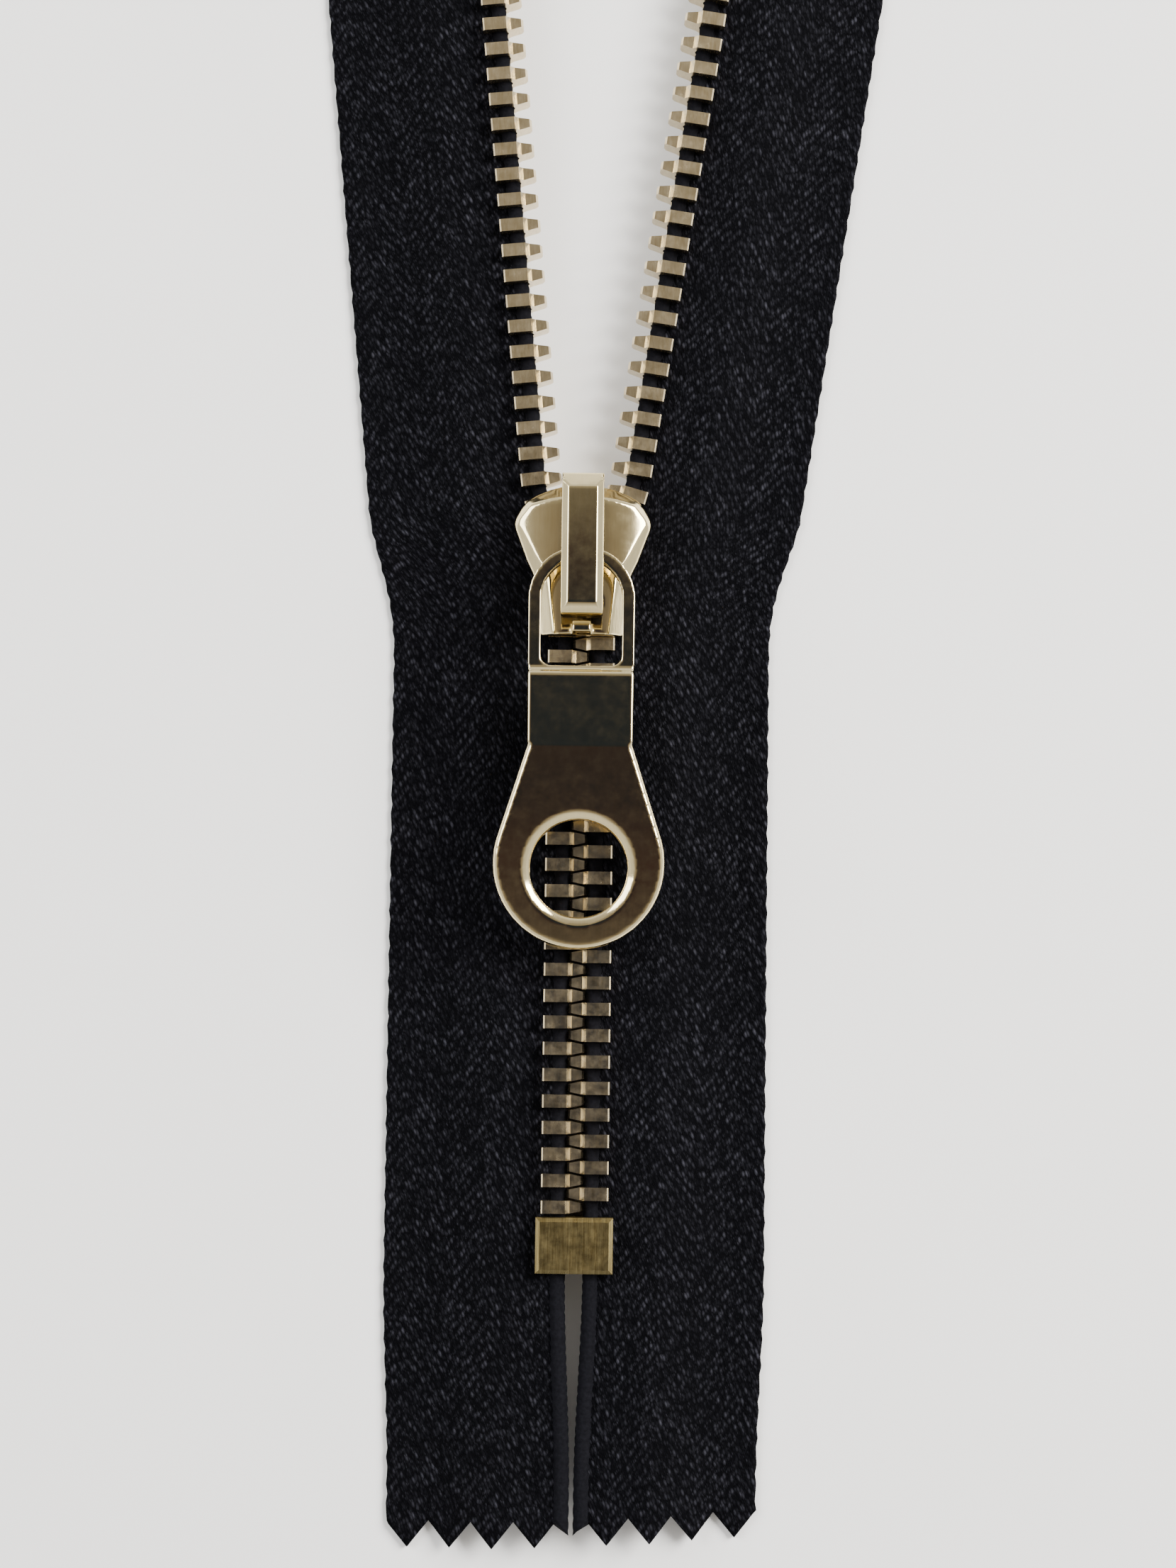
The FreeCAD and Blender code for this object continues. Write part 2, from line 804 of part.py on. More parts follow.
def add_puller():
    """Ring, thick neck and teardrop in one casting; the ring is thinner and the teardrop slopes down."""
    body = new_body("puller")
    side = new_sketch(body, "puller_side", "YZ_Plane")
    draw_outline(
        side,
        [
            ("puller_end", "puller_end_low"),
            ("crease", "neck_low"),
            ("neck_start", "neck_low"),
            ("neck_start", "ring_low"),
            ("blank_front", "ring_low"),
            ("blank_front", "ring_high"),
            ("neck_start", "ring_high"),
            ("neck_start", "neck_high"),
            ("crease", "neck_high"),
            ("puller_end", "puller_end_top"),
        ],
    )
    pad(body, side, "2 * Sizes.blank_half", symmetric=True)
    outside = new_sketch(body, "puller_outline", "XY_Plane")
    draw_rectangle(outside, "-blank_half", "blank_rear", "blank_half", "blank_front")
    draw_planform(outside)
    pocket(body, outside)
    window = new_sketch(body, "puller_window", "XY_Plane")
    draw_outline(
        window,
        [
            ("-window_half", "arch_centre"),
            ("-window_half", "window_bottom"),
            ("window_half", "window_bottom"),
            ("window_half", "arch_centre"),
        ],
        {3: ("window_half", False)},
    )
    pocket(body, window)

    def window_corner(edge):
        box = edge.BoundBox
        return upright(edge) and abs(box.YMin - size("window_bottom")) < TOLERANCE

    round_edges(body, window_corner, "window_corner", "window_corners")
    hole = new_sketch(body, "puller_hole", "XY_Plane")
    draw_circle(hole, ("zero", "hole_y"), "hole_radius")
    pocket(body, hole)

    def hole_rim(edge):
        box = edge.BoundBox
        round_rim = abs(box.XLength - 2 * size("hole_radius")) < 0.05
        return round_rim and abs(box.Center.y - size("hole_y")) < 0.3

    bevel_edges(body, hole_rim, "hole_bevel", "hole_bevels")

    def outer_rim(edge):
        box = edge.BoundBox
        behind_crease = box.YMax < size("crease") + TOLERANCE
        along = box.YLength > 1 and box.ZLength < 3
        near_hole = max(abs(box.XMin), abs(box.XMax)) < size("neck_half_width") - 0.01
        return behind_crease and along and not near_hole

    bevel_edges(body, outer_rim, "puller_bevel", "teardrop_bevels")

    def lip(edge):
        box = edge.BoundBox
        at_step = abs(box.YMin - size("neck_start")) < TOLERANCE and box.YLength < TOLERANCE
        return box.XLength > 8 and at_step and abs(box.ZMin - size("neck_high")) < TOLERANCE

    bevel_edges(body, lip, "puller_bevel", "neck_lip")
    return body


def draw_planform(sketch):
    """The puller seen from above: an arch, straight sides and a teardrop that ends in an arc."""
    radius = size("teardrop_radius")
    centre = size("teardrop_centre")
    shoulder = Vector(size("neck_half_width"), size("crease"), 0)
    to_shoulder = shoulder - Vector(0, centre, 0)
    # the flank is tangent to the end arc
    angle = math.atan2(to_shoulder.y, to_shoulder.x) - math.acos(radius / to_shoulder.Length)
    touch = Vector(radius * math.cos(angle), centre + radius * math.sin(angle), 0)
    corners = [
        Vector(-touch.x, touch.y, 0),
        touch,
        shoulder,
        Vector(size("ring_half_width"), size("arch_centre"), 0),
        Vector(-size("ring_half_width"), size("arch_centre"), 0),
        Vector(-shoulder.x, shoulder.y, 0),
    ]
    first = sketch.GeometryCount
    for i, corner in enumerate(corners):
        following = corners[(i + 1) % len(corners)]
        if i == 0:
            sketch.addGeometry(arc_between(corner, following, radius, True), False)
        elif i == 3:
            sketch.addGeometry(arc_between(corner, following, size("ring_half_width"), False), False)
        else:
            sketch.addGeometry(Part.LineSegment(corner, following), False)
    for i in range(len(corners)):
        joined = first + (i + 1) % len(corners)
        # the flanks, sides 1 and 5, run on smoothly from the end arc
        kind = "Tangent" if i in (0, 5) else "Coincident"
        sketch.addConstraint(Sketcher.Constraint(kind, first + i, END, joined, START))
    pin_point(sketch, first, CENTRE, ("zero", "teardrop_centre"))
    bind(sketch, Sketcher.Constraint("Radius", first, radius), "Sizes.teardrop_radius")
    pin_point(sketch, first + 1, END, ("neck_half_width", "crease"))
    pin_point(sketch, first + 4, END, ("-neck_half_width", "crease"))
    pin_point(sketch, first + 3, START, ("ring_half_width", "arch_centre"))
    pin_point(sketch, first + 3, END, ("-ring_half_width", "arch_centre"))
    hold_arc(sketch, first + 3, "ring_half_width", "arch_centre")


# ---- build, check and write ----

tooth_master = tooth_body()
for stringer in (LEFT, RIGHT):
    add_teeth(stringer, tooth_master.Shape)
    add_tape(stringer, "lower", size("tape_bottom"), size("split") - size("split_gap"))
    add_tape(stringer, "upper", size("split") + size("split_gap"), size("tape_top"))
    add_cord(stringer, "lower", size("tape_bottom"), size("split") - size("split_gap"))
    add_cord(stringer, "upper", size("split") + size("split_gap"), size("tape_top"))
    add_end_stop(stringer)
add_bottom_stop()
add_slider_body()
add_crown()
add_lock_pin()
add_puller()
doc.recompute()

for item in doc.Objects:
    if {"Invalid", "Error"} & set(item.State):
        raise RuntimeError(f"{item.Label} failed: {item.State}")
for node in nodes:
    if node.Shape.isNull() or not node.Shape.isValid():
        raise RuntimeError(f"{node.Label} has no valid shape")

os.makedirs("parts", exist_ok=True)
for node in nodes:
    node.Shape.exportStep(f"parts/{node.Label}.step")
print(f"wrote {len(nodes)} sub-parts")
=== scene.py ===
import json
import math

import bmesh
import bpy
from mathutils import Matrix, Vector


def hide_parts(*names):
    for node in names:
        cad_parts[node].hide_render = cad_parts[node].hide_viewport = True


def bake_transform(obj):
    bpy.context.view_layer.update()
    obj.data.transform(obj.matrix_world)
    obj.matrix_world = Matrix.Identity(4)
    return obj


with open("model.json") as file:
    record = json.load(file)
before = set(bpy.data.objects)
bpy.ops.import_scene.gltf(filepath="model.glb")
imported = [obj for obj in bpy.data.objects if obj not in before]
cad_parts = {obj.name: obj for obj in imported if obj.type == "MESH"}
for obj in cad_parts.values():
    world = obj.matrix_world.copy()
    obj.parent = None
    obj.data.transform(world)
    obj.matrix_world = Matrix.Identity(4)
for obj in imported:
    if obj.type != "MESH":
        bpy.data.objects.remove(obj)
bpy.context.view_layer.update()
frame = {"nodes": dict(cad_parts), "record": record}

# A black, metal-toothed zipper, half open, lying flat. Everything is in metres, in the frame's own axes:
# X across the tapes, Y along the chain towards the open end, Z up, with the slider's base at the origin.

MM = 0.001
NODES = frame["nodes"]
JOINTS = {joint["name"]: joint for joint in frame["record"]["behaviour"]["joints"]}

# ---- the bend of the stringers, as the CAD has it ----

BEND_START = -5.0 * MM
BEND_LENGTH = 13.0 * MM
BEND_SLANT = math.radians(10.0)
CHAIN_MID = 2.5 * MM
CORD_CENTRE = 1.4 * MM
TAPE_EDGE = 16.05 * MM
TAPE_LOW = -80.1 * MM
TAPE_HIGH = 115.0 * MM
PINKS = 4
PINK_DEPTH = 2.2 * MM
# the lower ends are cut a little aslant
PINK_TILT = math.tan(math.radians(2.2))
PINCH = 0.55 * MM
PINCH_START = -59.7 * MM
PINCH_LENGTH = 18.0 * MM
# rounds in which a place's own turn settles
BEND_ROUNDS = 12


def smoothstep(low, high, value):
    share = min(1.0, max(0.0, (value - low) / (high - low)))
    return share * share * (3 - 2 * share)


class Stringer:
    """One side of the zipper, with the map from its closed, straight shape to the opened one."""

    def __init__(self, name, side, degrees):
        self.name = name
        self.side = side
        self.body = f"{name}_upper"
        self.angle = -side * math.radians(degrees)
        self.pivot = JOINTS[f"{name}_spread"]["pos_m"][1]
        self.bend_dir = Vector((side * math.sin(BEND_SLANT), math.cos(BEND_SLANT), 0))

    def opened(self, x, y):
        """Where a place of the closed stringer lies once its branch is opened."""
        drawn = smoothstep(0, PINCH_LENGTH, PINCH_START - y)
        x -= self.side * PINCH * drawn
        here = (x, y)
        for _ in range(BEND_ROUNDS):
            along = here[0] * self.bend_dir.x + (here[1] - BEND_START) * self.bend_dir.y
            share = min(1.0, max(0.0, along / BEND_LENGTH))
            turn = self.angle * share * share * (3 - 2 * share)
            dy = y - self.pivot
            here = (
                x * math.cos(turn) - dy * math.sin(turn),
                self.pivot + x * math.sin(turn) + dy * math.cos(turn),
            )
        return here

    def blend(self, piece):
        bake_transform(piece)


LEFT_OPENING = 5.5
RIGHT_OPENING = 8.5
LEFT = Stringer("left", -1, LEFT_OPENING)
RIGHT = Stringer("right", 1, RIGHT_OPENING)

# ---- camera ----

IMAGE_HEIGHT = 132.8 * MM
CAMERA_DISTANCE = 245 * MM
CAMERA_ELEVATION = math.radians(86.0)
CAMERA_ROLL = math.radians(0.7)
CAMERA_TARGET = Vector((0.7 * MM, -18.7 * MM, CHAIN_MID))
SENSOR_HEIGHT = 24.0
NEAREST = 10 * MM


def add_camera():
    data = bpy.data.cameras.new("camera")
    data.sensor_fit = "VERTICAL"
    data.sensor_height = SENSOR_HEIGHT
    data.lens = data.sensor_height * CAMERA_DISTANCE / IMAGE_HEIGHT
    data.clip_start = NEAREST
    camera = bpy.data.objects.new("camera", data)
    away = Vector((0, -math.cos(CAMERA_ELEVATION), math.sin(CAMERA_ELEVATION)))
    roll = Matrix.Rotation(CAMERA_ROLL, 4, "Z")
    facing = away.to_track_quat("Z", "Y").to_matrix().to_4x4()
    camera.matrix_world = Matrix.Translation(CAMERA_TARGET + away * CAMERA_DISTANCE) @ facing @ roll
    bpy.context.scene.collection.objects.link(camera)
    bpy.context.scene.camera = camera


add_camera()


# ---- material helpers ----


def new_material(name):
    material = bpy.data.materials.new(name)
    material.use_nodes = True
    nodes = material.node_tree.nodes
    shader = next(node for node in nodes if node.type == "BSDF_PRINCIPLED")
    return material, shader


def add_node(material, kind, **settings):
    node = material.node_tree.nodes.new(kind)
    for name, value in settings.items():
        setattr(node, name, value)
    return node


def link(material, output, socket):
    material.node_tree.links.new(output, socket)


def place_coords(material, scale, turn=0.0, uv=None):
    """Object or weave coordinates, scaled per metre and turned about Z."""
    if uv:
        source = add_node(material, "ShaderNodeUVMap", uv_map=uv).outputs["UV"]
    else:
        source = add_node(material, "ShaderNodeTexCoord").outputs["Object"]
    turned = add_node(material, "ShaderNodeMapping")
    turned.inputs["Rotation"].default_value = (0, 0, turn)
    link(material, source, turned.inputs["Vector"])
    scaled = add_node(material, "ShaderNodeMapping")
    scaled.inputs["Scale"].default_value = scale
    link(material, turned.outputs["Vector"], scaled.inputs["Vector"])
    return scaled.outputs["Vector"]


def noise(material, coords, scale, detail=2.0, roughness=0.5):
    node = add_node(material, "ShaderNodeTexNoise")
    node.inputs["Scale"].default_value = scale
    node.inputs["Detail"].default_value = detail
    node.inputs["Roughness"].default_value = roughness
    link(material, coords, node.inputs["Vector"])
    return node.outputs["Fac"]


def ramp(material, value, stops):
    """A colour ramp: stops are (position, colour) with colour a grey or (r, g, b)."""
    node = add_node(material, "ShaderNodeValToRGB")
    elements = node.color_ramp.elements
    while len(elements) < len(stops):
        elements.new(0.5)
    for element, (position, colour) in zip(elements, stops):
        rgb = colour if hasattr(colour, "__len__") else (colour,) * 3
        element.position = position
        element.color = (*rgb, 1)
    link(material, value, node.inputs["Fac"])
    return node.outputs["Color"]


def maths(material, operation, a, b=None, c=None):
    node = add_node(material, "ShaderNodeMath", operation=operation)
    for socket, value in zip(node.inputs, (a, b, c)):
        if value is None:
            continue
        if isinstance(value, (int, float)):
            socket.default_value = value
        else:
            link(material, value, socket)
    return node.outputs[0]


def mix(material, factor, a, b, blend="MIX"):
    node = add_node(material, "ShaderNodeMix", data_type="RGBA", blend_type=blend)
    for socket, value in ((node.inputs[0], factor), (node.inputs[6], a), (node.inputs[7], b)):
        if isinstance(value, (int, float)):
            socket.default_value = value
        elif hasattr(value, "__len__"):
            socket.default_value = (*value, 1)
        else:
            link(material, value, socket)
    return node.outputs[2]


def bump(material, shader, height, distance, strength=1.0):
    node = add_node(material, "ShaderNodeBump")
    node.inputs["Strength"].default_value = strength
    node.inputs["Distance"].default_value = distance
    link(material, height, node.inputs["Height"])
    link(material, node.outputs["Normal"], shader.inputs["Normal"])


# ---- materials ----


HERRINGBONE_WIDTH = 3.6 * MM
HERRINGBONE_SLOPE = 1.3
TWILL_PITCH = 1.05 * MM
# cells per metre across and along the tape, and how far the yarn leans
FLOAT_CELLS = (3700, 1600, 1)
FLOAT_LEAN = math.radians(-17)
FINE_CELLS = (6400, 2900, 1)
FINE_LEAN = math.radians(-20)
CLOUD_SCALE = 260.0
CLOTH_DARK = (0.0006, 0.0006, 0.0012)
CLOTH_LIGHT = (0.038, 0.038, 0.049)
YARN_RELIEF = 0.11 * MM


def twill_lines(material):
    """Faint diagonal lines that turn back in bands across the tape, from 0 to 1."""
    weave = add_node(material, "ShaderNodeUVMap", uv_map="weave").outputs["UV"]
    parts = add_node(material, "ShaderNodeSeparateXYZ")
    link(material, weave, parts.inputs[0])
    zigzag_x = maths(material, "PINGPONG", parts.outputs["X"], HERRINGBONE_WIDTH)
    climb = maths(material, "MULTIPLY", zigzag_x, HERRINGBONE_SLOPE)
    along = maths(material, "ADD", parts.outputs["Y"], climb)
    phase = maths(material, "MULTIPLY", along, 2 * math.pi / TWILL_PITCH)
    return maths(material, "MULTIPLY_ADD", maths(material, "SINE", phase), 0.5, 0.5)


def yarn_cells(material, scale, lean):
    """Random cells stretched along the yarn: how near a cell's middle is, and its own random shade."""
    cells = add_node(material, "ShaderNodeTexVoronoi", feature="F1")
    cells.inputs["Scale"].default_value = 1.0
    cells.inputs["Randomness"].default_value = 0.7
    link(material, place_coords(material, scale, lean, uv="weave"), cells.inputs["Vector"])
    shade = add_node(material, "ShaderNodeSeparateColor")
    link(material, cells.outputs["Color"], shade.inputs["Color"])
    middle = ramp(material, cells.outputs["Distance"], [(0.08, 1.0), (0.62, 0.0)])
    return middle, shade.outputs[0]


def twill_material():
    """Near-black twill: short leaning yarn floats over a dark ground, with faint herringbone lines."""
    material, shader = new_material("twill_cloth")
    middle, shade = yarn_cells(material, FLOAT_CELLS, FLOAT_LEAN)
    fine, fine_shade = yarn_cells(material, FINE_CELLS, FINE_LEAN)
    picked = ramp(material, shade, [(0.1, 0.15), (0.95, 1.0)])
    fleck = maths(material, "MULTIPLY", middle, picked)
    fine_picked = ramp(material, fine_shade, [(0.3, 0.0), (1.0, 0.6)])
    fine_fleck = maths(material, "MULTIPLY", fine, fine_picked)
    fleck = maths(material, "MAXIMUM", fleck, fine_fleck)
    lines = ramp(material, twill_lines(material), [(0.15, 0.25), (0.75, 1.0)])
    fleck = maths(material, "MULTIPLY", fleck, lines)
    cloud = noise(material, place_coords(material, (1, 1, 1), 0, uv="weave"), CLOUD_SCALE, 3.0)
    fleck = maths(material, "MULTIPLY", fleck, ramp(material, cloud, [(0.3, 0.55), (0.7, 1.0)]))
    colour = mix(material, fleck, CLOTH_DARK, CLOTH_LIGHT)
    link(material, colour, shader.inputs["Base Color"])
    link(material, ramp(material, fleck, [(0.0, 0.95), (1.0, 0.6)]), shader.inputs["Roughness"])
    shader.inputs["Specular IOR Level"].default_value = 0.06
    bump(material, shader, maths(material, "MAXIMUM", middle, fine), YARN_RELIEF, 0.8)
    return material


FUZZ_SCALE = 3200.0
FUZZ_RELIEF = 0.08 * MM
CORD_DARK = (0.0008, 0.0008, 0.0014)
CORD_LIGHT = (0.009, 0.009, 0.012)


def cord_material():
    """Black whipping yarn with a little fuzz."""
    material, shader = new_material("cord_yarn")
    coords = place_coords(material, (1, 1, 1))
    fuzz = noise(material, coords, FUZZ_SCALE, 3.0)
    colour = mix(material, fuzz, CORD_DARK, CORD_LIGHT)
    link(material, colour, shader.inputs["Base Color"])
    link(material, ramp(material, fuzz, [(0.0, 0.75), (1.0, 0.95)]), shader.inputs["Roughness"])
    shader.inputs["Specular IOR Level"].default_value = 0.05
    bump(material, shader, fuzz, FUZZ_RELIEF, 0.7)
    return material


PATCH_SCALE = 600.0
BLOTCH_SCALE = 900.0


def metal_material(name, colours, roughness, brushed, scratch, grain):
    """Plated metal.

    colours are its dark, light and scratched tones, roughness its lowest and highest value, brushed the
    streaks per metre along each axis, scratch how strongly they show and grain how deep they are.
    """
    material, shader = new_material(name)
    shader.inputs["Metallic"].default_value = 1.0
    coords = place_coords(material, (1, 1, 1))
    patches = noise(material, coords, PATCH_SCALE, 3.0)
    tone = mix(material, patches, colours[0], colours[1])
    streaks = noise(material, place_coords(material, brushed), 1.0, 4.0, 0.6)
    tone = mix(material, ramp(material, streaks, [(0.3, 0.0), (0.75, scratch)]), tone, colours[2])
    link(material, tone, shader.inputs["Base Color"])
    blotch = noise(material, coords, BLOTCH_SCALE, 4.0, 0.65)
    rough = ramp(material, blotch, [(0.3, roughness[0]), (0.75, roughness[1])])
    link(material, rough, shader.inputs["Roughness"])
    bump(material, shader, streaks, grain, 0.5)
    return material


TWILL = twill_material()
CORD = cord_material()
TOOTH_METAL = metal_material(
    "tooth_metal",
    ((0.52, 0.41, 0.23), (0.7, 0.58, 0.37), (0.9, 0.8, 0.58)),
    (0.17, 0.3),
    (5000, 900, 900),
    0.5,
    0.02 * MM,
)
GOLD = metal_material(
    "polished_gold",
    ((0.72, 0.6, 0.33), (0.8, 0.68, 0.39), (0.88, 0.79, 0.53)),
    (0.06, 0.14),
    (6000, 500, 500),
    0.25,
    0.003 * MM,
)
STOP_BRASS = metal_material(
    "stop_brass",
    ((0.13, 0.092, 0.032), (0.2, 0.15, 0.06), (0.42, 0.35, 0.17)),
    (0.26, 0.4),
    (9000, 350, 350),
    0.8,
    0.03 * MM,
)
STEEL = metal_material(
    "spring_steel",
    ((0.42, 0.42, 0.42), (0.55, 0.55, 0.55), (0.62, 0.62, 0.62)),
    (0.2, 0.35),
    (900, 6000, 900),
    0.4,
    0.01 * MM,
)

# ---- mesh helpers ----


def add_mesh(name, vertices, faces, material):
    mesh = bpy.data.meshes.new(name)
    mesh.from_pydata(vertices, [], faces)
    mesh.materials.append(material)
    for polygon in mesh.polygons:
        polygon.use_smooth = True
    piece = bpy.data.objects.new(name, mesh)
    bpy.context.scene.collection.objects.link(piece)
    return piece


# ---- tapes ----

TAPE_INNER = 1.75 * MM
RIB_EDGE = 4.4 * MM
TAPE_HALF = 0.24 * MM
TAPE_REST = 0.32 * MM
SELVEDGE_PITCH = 2.0 * MM
SELVEDGE_DEPTH = 0.07 * MM
SELVEDGE_THINNING = 0.45
RIB_HEIGHT = 0.05 * MM
RIB_PITCH = 0.65 * MM
RIB_FADE = 0.4 * MM
FALL_START = 6.2 * MM
FALL_END = 14.0 * MM
TAPE_COLUMNS = 64
TAPE_ROWS = 260


def tape_height(across):
    """The tape runs level through the slider, then falls to the surface that it lies on."""
    fall = smoothstep(FALL_START, FALL_END, across)
    return CHAIN_MID + (TAPE_REST - CHAIN_MID) * fall


def zigzag(across):
    """The pinked end's depth, 0 at a valley and 1 at a tip."""
    pitch = (TAPE_EDGE - TAPE_INNER) / PINKS
    share = ((across - TAPE_INNER) / pitch) % 1.0
    return 1 - abs(2 * share - 1)


def add_tape(stringer):
    """One woven strip with real thickness, pinked across both ends."""
    columns = TAPE_COLUMNS
    rows = TAPE_ROWS
    vertices = []
    weave = []
    for face_side in (1, -1):
        for j in range(rows + 1):
            along = j / rows
            for i in range(columns + 1):
                across = TAPE_INNER + (TAPE_EDGE - TAPE_INNER) * i / columns
                reach = PINK_DEPTH * zigzag(across)
                low = TAPE_LOW - reach + stringer.side * across * PINK_TILT
                high = TAPE_HIGH + reach
                y = low + (high - low) * along
                if i == columns:
                    across += SELVEDGE_DEPTH * math.sin(2 * math.pi * y / SELVEDGE_PITCH)
                rib = RIB_HEIGHT * math.cos(2 * math.pi * across / RIB_PITCH)
                rib *= 1 - smoothstep(RIB_EDGE - RIB_FADE, RIB_EDGE, across)
                thickness = TAPE_HALF * (SELVEDGE_THINNING if i == columns else 1.0)
                place = stringer.opened(stringer.side * across, y)
                height = tape_height(across) + face_side * thickness
                height += rib if face_side > 0 else 0
                vertices.append((place[0], place[1], height))
                weave.append((stringer.side * across, y))
    width = columns + 1
    sheet_size = width * (rows + 1)
    faces = []
    for j in range(rows):
        for i in range(columns):
            a = j * width + i
            quad = (a, a + 1, a + 1 + width, a + width)
            faces.append(quad)
            faces.append(tuple(sheet_size + v for v in reversed(quad)))
    rim = list(range(columns))
    rim += [j * width + columns for j in range(rows)]
    rim += [rows * width + i for i in range(columns, 0, -1)]
    rim += [j * width for j in range(rows, 0, -1)]
    for a, b in zip(rim, rim[1:] + rim[:1]):
        faces.append((a, sheet_size + a, sheet_size + b, b))
    piece = add_mesh(f"{stringer.name}_tape", vertices, faces, TWILL)
    uv = piece.data.uv_layers.new(name="weave")
    for loop in piece.data.loops:
        uv.data[loop.index].uv = weave[loop.vertex_index]
    outward(piece)
    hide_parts(f"{stringer.name}_tape_lower", f"{stringer.name}_tape_upper")
    stringer.blend(piece)


def outward(piece):
    """Turn every face outwards."""
    shape = bmesh.new()
    shape.from_mesh(piece.data)
    bmesh.ops.recalc_face_normals(shape, faces=shape.faces)
    shape.to_mesh(piece.data)
    shape.free()


# ---- cords ----

CORD_RADIUS = 0.7 * MM
CORD_CUT = 4.0 * MM
CORD_SIDES = 16
CORD_STEP = 0.28 * MM
WRAP_PITCH = 0.84 * MM
WRAP_DEPTH = 0.05


def add_cord_edge(stringer):
    """The corded inner edge of the tape, whipped with yarn."""
    sides = CORD_SIDES
    count = round((TAPE_HIGH - TAPE_LOW) / CORD_STEP)
    vertices = []
    for j in range(count + 1):
        y = TAPE_LOW + (TAPE_HIGH - TAPE_LOW) * j / count
        for i in range(sides):
            angle = 2 * math.pi * i / sides
            wrap = math.cos(2 * math.pi * y / WRAP_PITCH + angle)
            radius = CORD_RADIUS * (1 - WRAP_DEPTH + WRAP_DEPTH * wrap)
            across = CORD_CENTRE + radius * math.cos(angle)
            # the pinking cuts the cord's lower end as well
            cut = PINK_DEPTH * zigzag(across) * smoothstep(-CORD_CUT, 0, TAPE_LOW - y)
            place = stringer.opened(stringer.side * across, y - cut)
            vertices.append((place[0], place[1], CHAIN_MID + radius * math.sin(angle)))
    faces = []
    for j in range(count):
        for i in range(sides):
            a = j * sides + i
            b = j * sides + (i + 1) % sides
            faces.append((a, b, b + sides, a + sides))
    faces.append(tuple(range(sides)))
    faces.append(tuple(count * sides + i for i in reversed(range(sides))))
    piece = add_mesh(f"{stringer.name}_cord", vertices, faces, CORD)
    outward(piece)
    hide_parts(f"{stringer.name}_cord_lower", f"{stringer.name}_cord_upper")
    stringer.blend(piece)


# ---- metal pieces ----

EDGE_WIDTH = 0.05 * MM
STOP_EDGE_WIDTH = 0.12 * MM
SHARP_EDGE = math.radians(28)
# the cast pieces: the size of the mesh's cells and how often it is smoothed
CASTINGS = {
    "slider_body": (0.095 * MM, 20),
    "crown": (0.07 * MM, 7),
    "puller": (0.11 * MM, 5),
}


def finish_metal(piece, material, width):
    """Give a piece its metal and softly rounded edges."""
    piece.data.materials.clear()
    piece.data.materials.append(material)
    bevel = piece.modifiers.new("edge_rounding", "BEVEL")
    bevel.width = width
    bevel.segments = 2
    bevel.limit_method = "ANGLE"
    bevel.angle_limit = SHARP_EDGE
    bevel.harden_normals = True


def finish_casting(piece, material, cell, rounds):
    """Give a die-cast piece its metal, and round it all over as plating and tumbling do."""
    piece.data.materials.clear()
    piece.data.materials.append(material)
    remesh = piece.modifiers.new("even_mesh", "REMESH")
    remesh.mode = "VOXEL"
    remesh.voxel_size = cell
    remesh.use_smooth_shade = True
    smooth = piece.modifiers.new("tumbled", "SMOOTH")
    smooth.factor = 0.5
    smooth.iterations = rounds


def metal_for(name):
    if "stop" in name:
        return STOP_BRASS
    if "teeth" in name:
        return TOOTH_METAL
    if name == "lock_pin":
        return STEEL
    return GOLD


def finish_chain_nodes():
    for name, node in NODES.items():
        if "tape" in name or "cord" in name:
            continue
        if name in CASTINGS:
            finish_casting(node, metal_for(name), *CASTINGS[name])
        else:
            width = STOP_EDGE_WIDTH if "stop" in name else EDGE_WIDTH
            finish_metal(node, metal_for(name), width)


BENDING_GROUPS = ((6, "lower"), (7, "upper"))


def bend_teeth(stringer):
    """The groups of teeth inside the bend are copied as pieces of their own, and their nodes are hidden.
    """
    for group, branch in BENDING_GROUPS:
        node_name = f"{stringer.name}_{branch}_teeth_{group:02d}"
        node = NODES[node_name]
        piece = node.copy()
        piece.data = node.data.copy()
        piece.name = f"{stringer.name}_bending_teeth_{group}"
        piece.parent = None
        bpy.context.scene.collection.objects.link(piece)
        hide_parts(node_name)
        stringer.blend(piece)


finish_chain_nodes()
for stringer in (LEFT, RIGHT):
    bend_teeth(stringer)
    add_tape(stringer)
    add_cord_edge(stringer)

# ---- floor and light ----

FLOOR_HALF = 1.2
FLOOR_TONES = ((0.88, 0.875, 0.86), (0.92, 0.915, 0.905))

def add_floor():
    mesh = bpy.data.meshes.new("floor")
    half = FLOOR_HALF
    corners = [(-half, -half, 0), (half, -half, 0), (half, half, 0), (-half, half, 0)]
    mesh.from_pydata(corners, [], [(0, 1, 2, 3)])
    floor = bpy.data.objects.new("floor", mesh)
    material, shader = new_material("floor_paper")
    coords = place_coords(material, (1, 1, 1))
    speck = noise(material, coords, 60.0, 3.0)
    link(material, mix(material, speck, *FLOOR_TONES), shader.inputs["Base Color"])
    shader.inputs["Roughness"].default_value = 0.7
    mesh.materials.append(material)
    bpy.context.scene.collection.objects.link(floor)


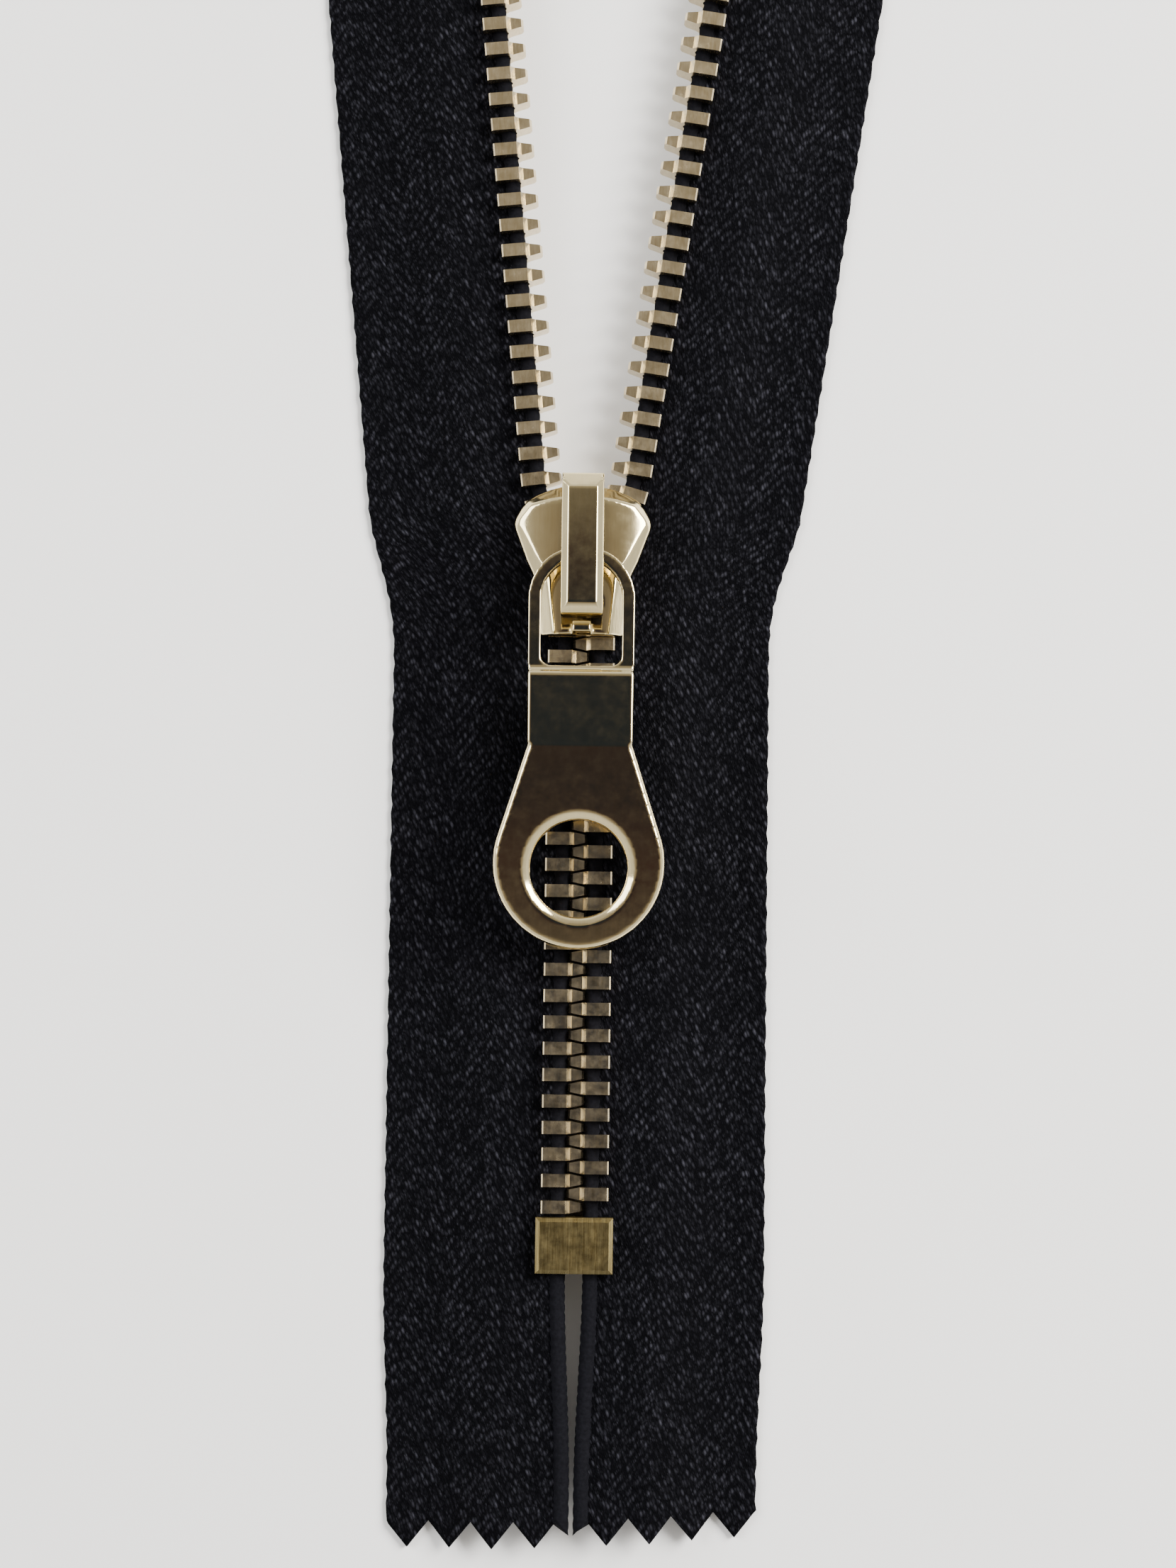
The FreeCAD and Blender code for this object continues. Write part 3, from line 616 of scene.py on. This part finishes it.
def add_area(name, place, aim, size, power, colour):
    data = bpy.data.lights.new(name, "AREA")
    data.shape = "RECTANGLE"
    data.size = size[0]
    data.size_y = size[1]
    data.energy = power
    data.color = colour
    lamp = bpy.data.objects.new(name, data)
    toward = (Vector(place) - Vector(aim)).to_track_quat("Z", "Y").to_matrix().to_4x4()
    lamp.matrix_world = Matrix.Translation(Vector(place)) @ toward
    bpy.context.scene.collection.objects.link(lamp)


def add_world():
    """A pale studio with a dark ceiling: rings of dim, warm light surround what hangs overhead."""
    world = bpy.data.worlds.new("studio")
    bpy.context.scene.world = world
    world.use_nodes = True
    background = world.node_tree.nodes["Background"]
    coords = add_node(world, "ShaderNodeTexCoord")
    split = add_node(world, "ShaderNodeSeparateXYZ")
    link(world, coords.outputs["Generated"], split.inputs[0])
    room = [
        (0.0, (0.8, 0.79, 0.77)),
        (0.6, (1.0, 0.98, 0.95)),
        (0.86, (0.42, 0.385, 0.34)),
        (0.95, (0.26, 0.22, 0.18)),
        (0.972, (0.15, 0.13, 0.115)),
        (0.9755, (0.026, 0.028, 0.036)),
        (0.9795, (0.08, 0.04, 0.036)),
    ]
    ceiling = [
        (0.982, (0.02, 0.024, 0.034)),
        (0.986, (0.02, 0.024, 0.034)),
        (0.9877, (0.07, 0.035, 0.03)),
        (0.9889, (0.02, 0.025, 0.036)),
        (1.0, (0.022, 0.029, 0.046)),
    ]
    sky = ramp(world, split.outputs["Z"], room + ceiling)
    # the far end of the room throws more light on the ceiling
    share = ramp(world, split.outputs["Y"], [(0.148, 0.0), (0.2, 1.0)])
    lit = mix(world, share, sky, (0.34, 0.31, 0.26), "LIGHTEN")
    link(world, lit, background.inputs["Color"])
    background.inputs["Strength"].default_value = 1.15


add_floor()
add_world()
LIT_PLACE = (0, -0.02, 0)
add_area("key", (0.55, 0.25, 0.5), LIT_PLACE, (0.45, 0.45), 17.0, (1.0, 0.98, 0.95))
add_area("fill", (-0.6, 0.2, 0.45), LIT_PLACE, (0.5, 0.5), 6.0, (0.95, 0.97, 1.0))
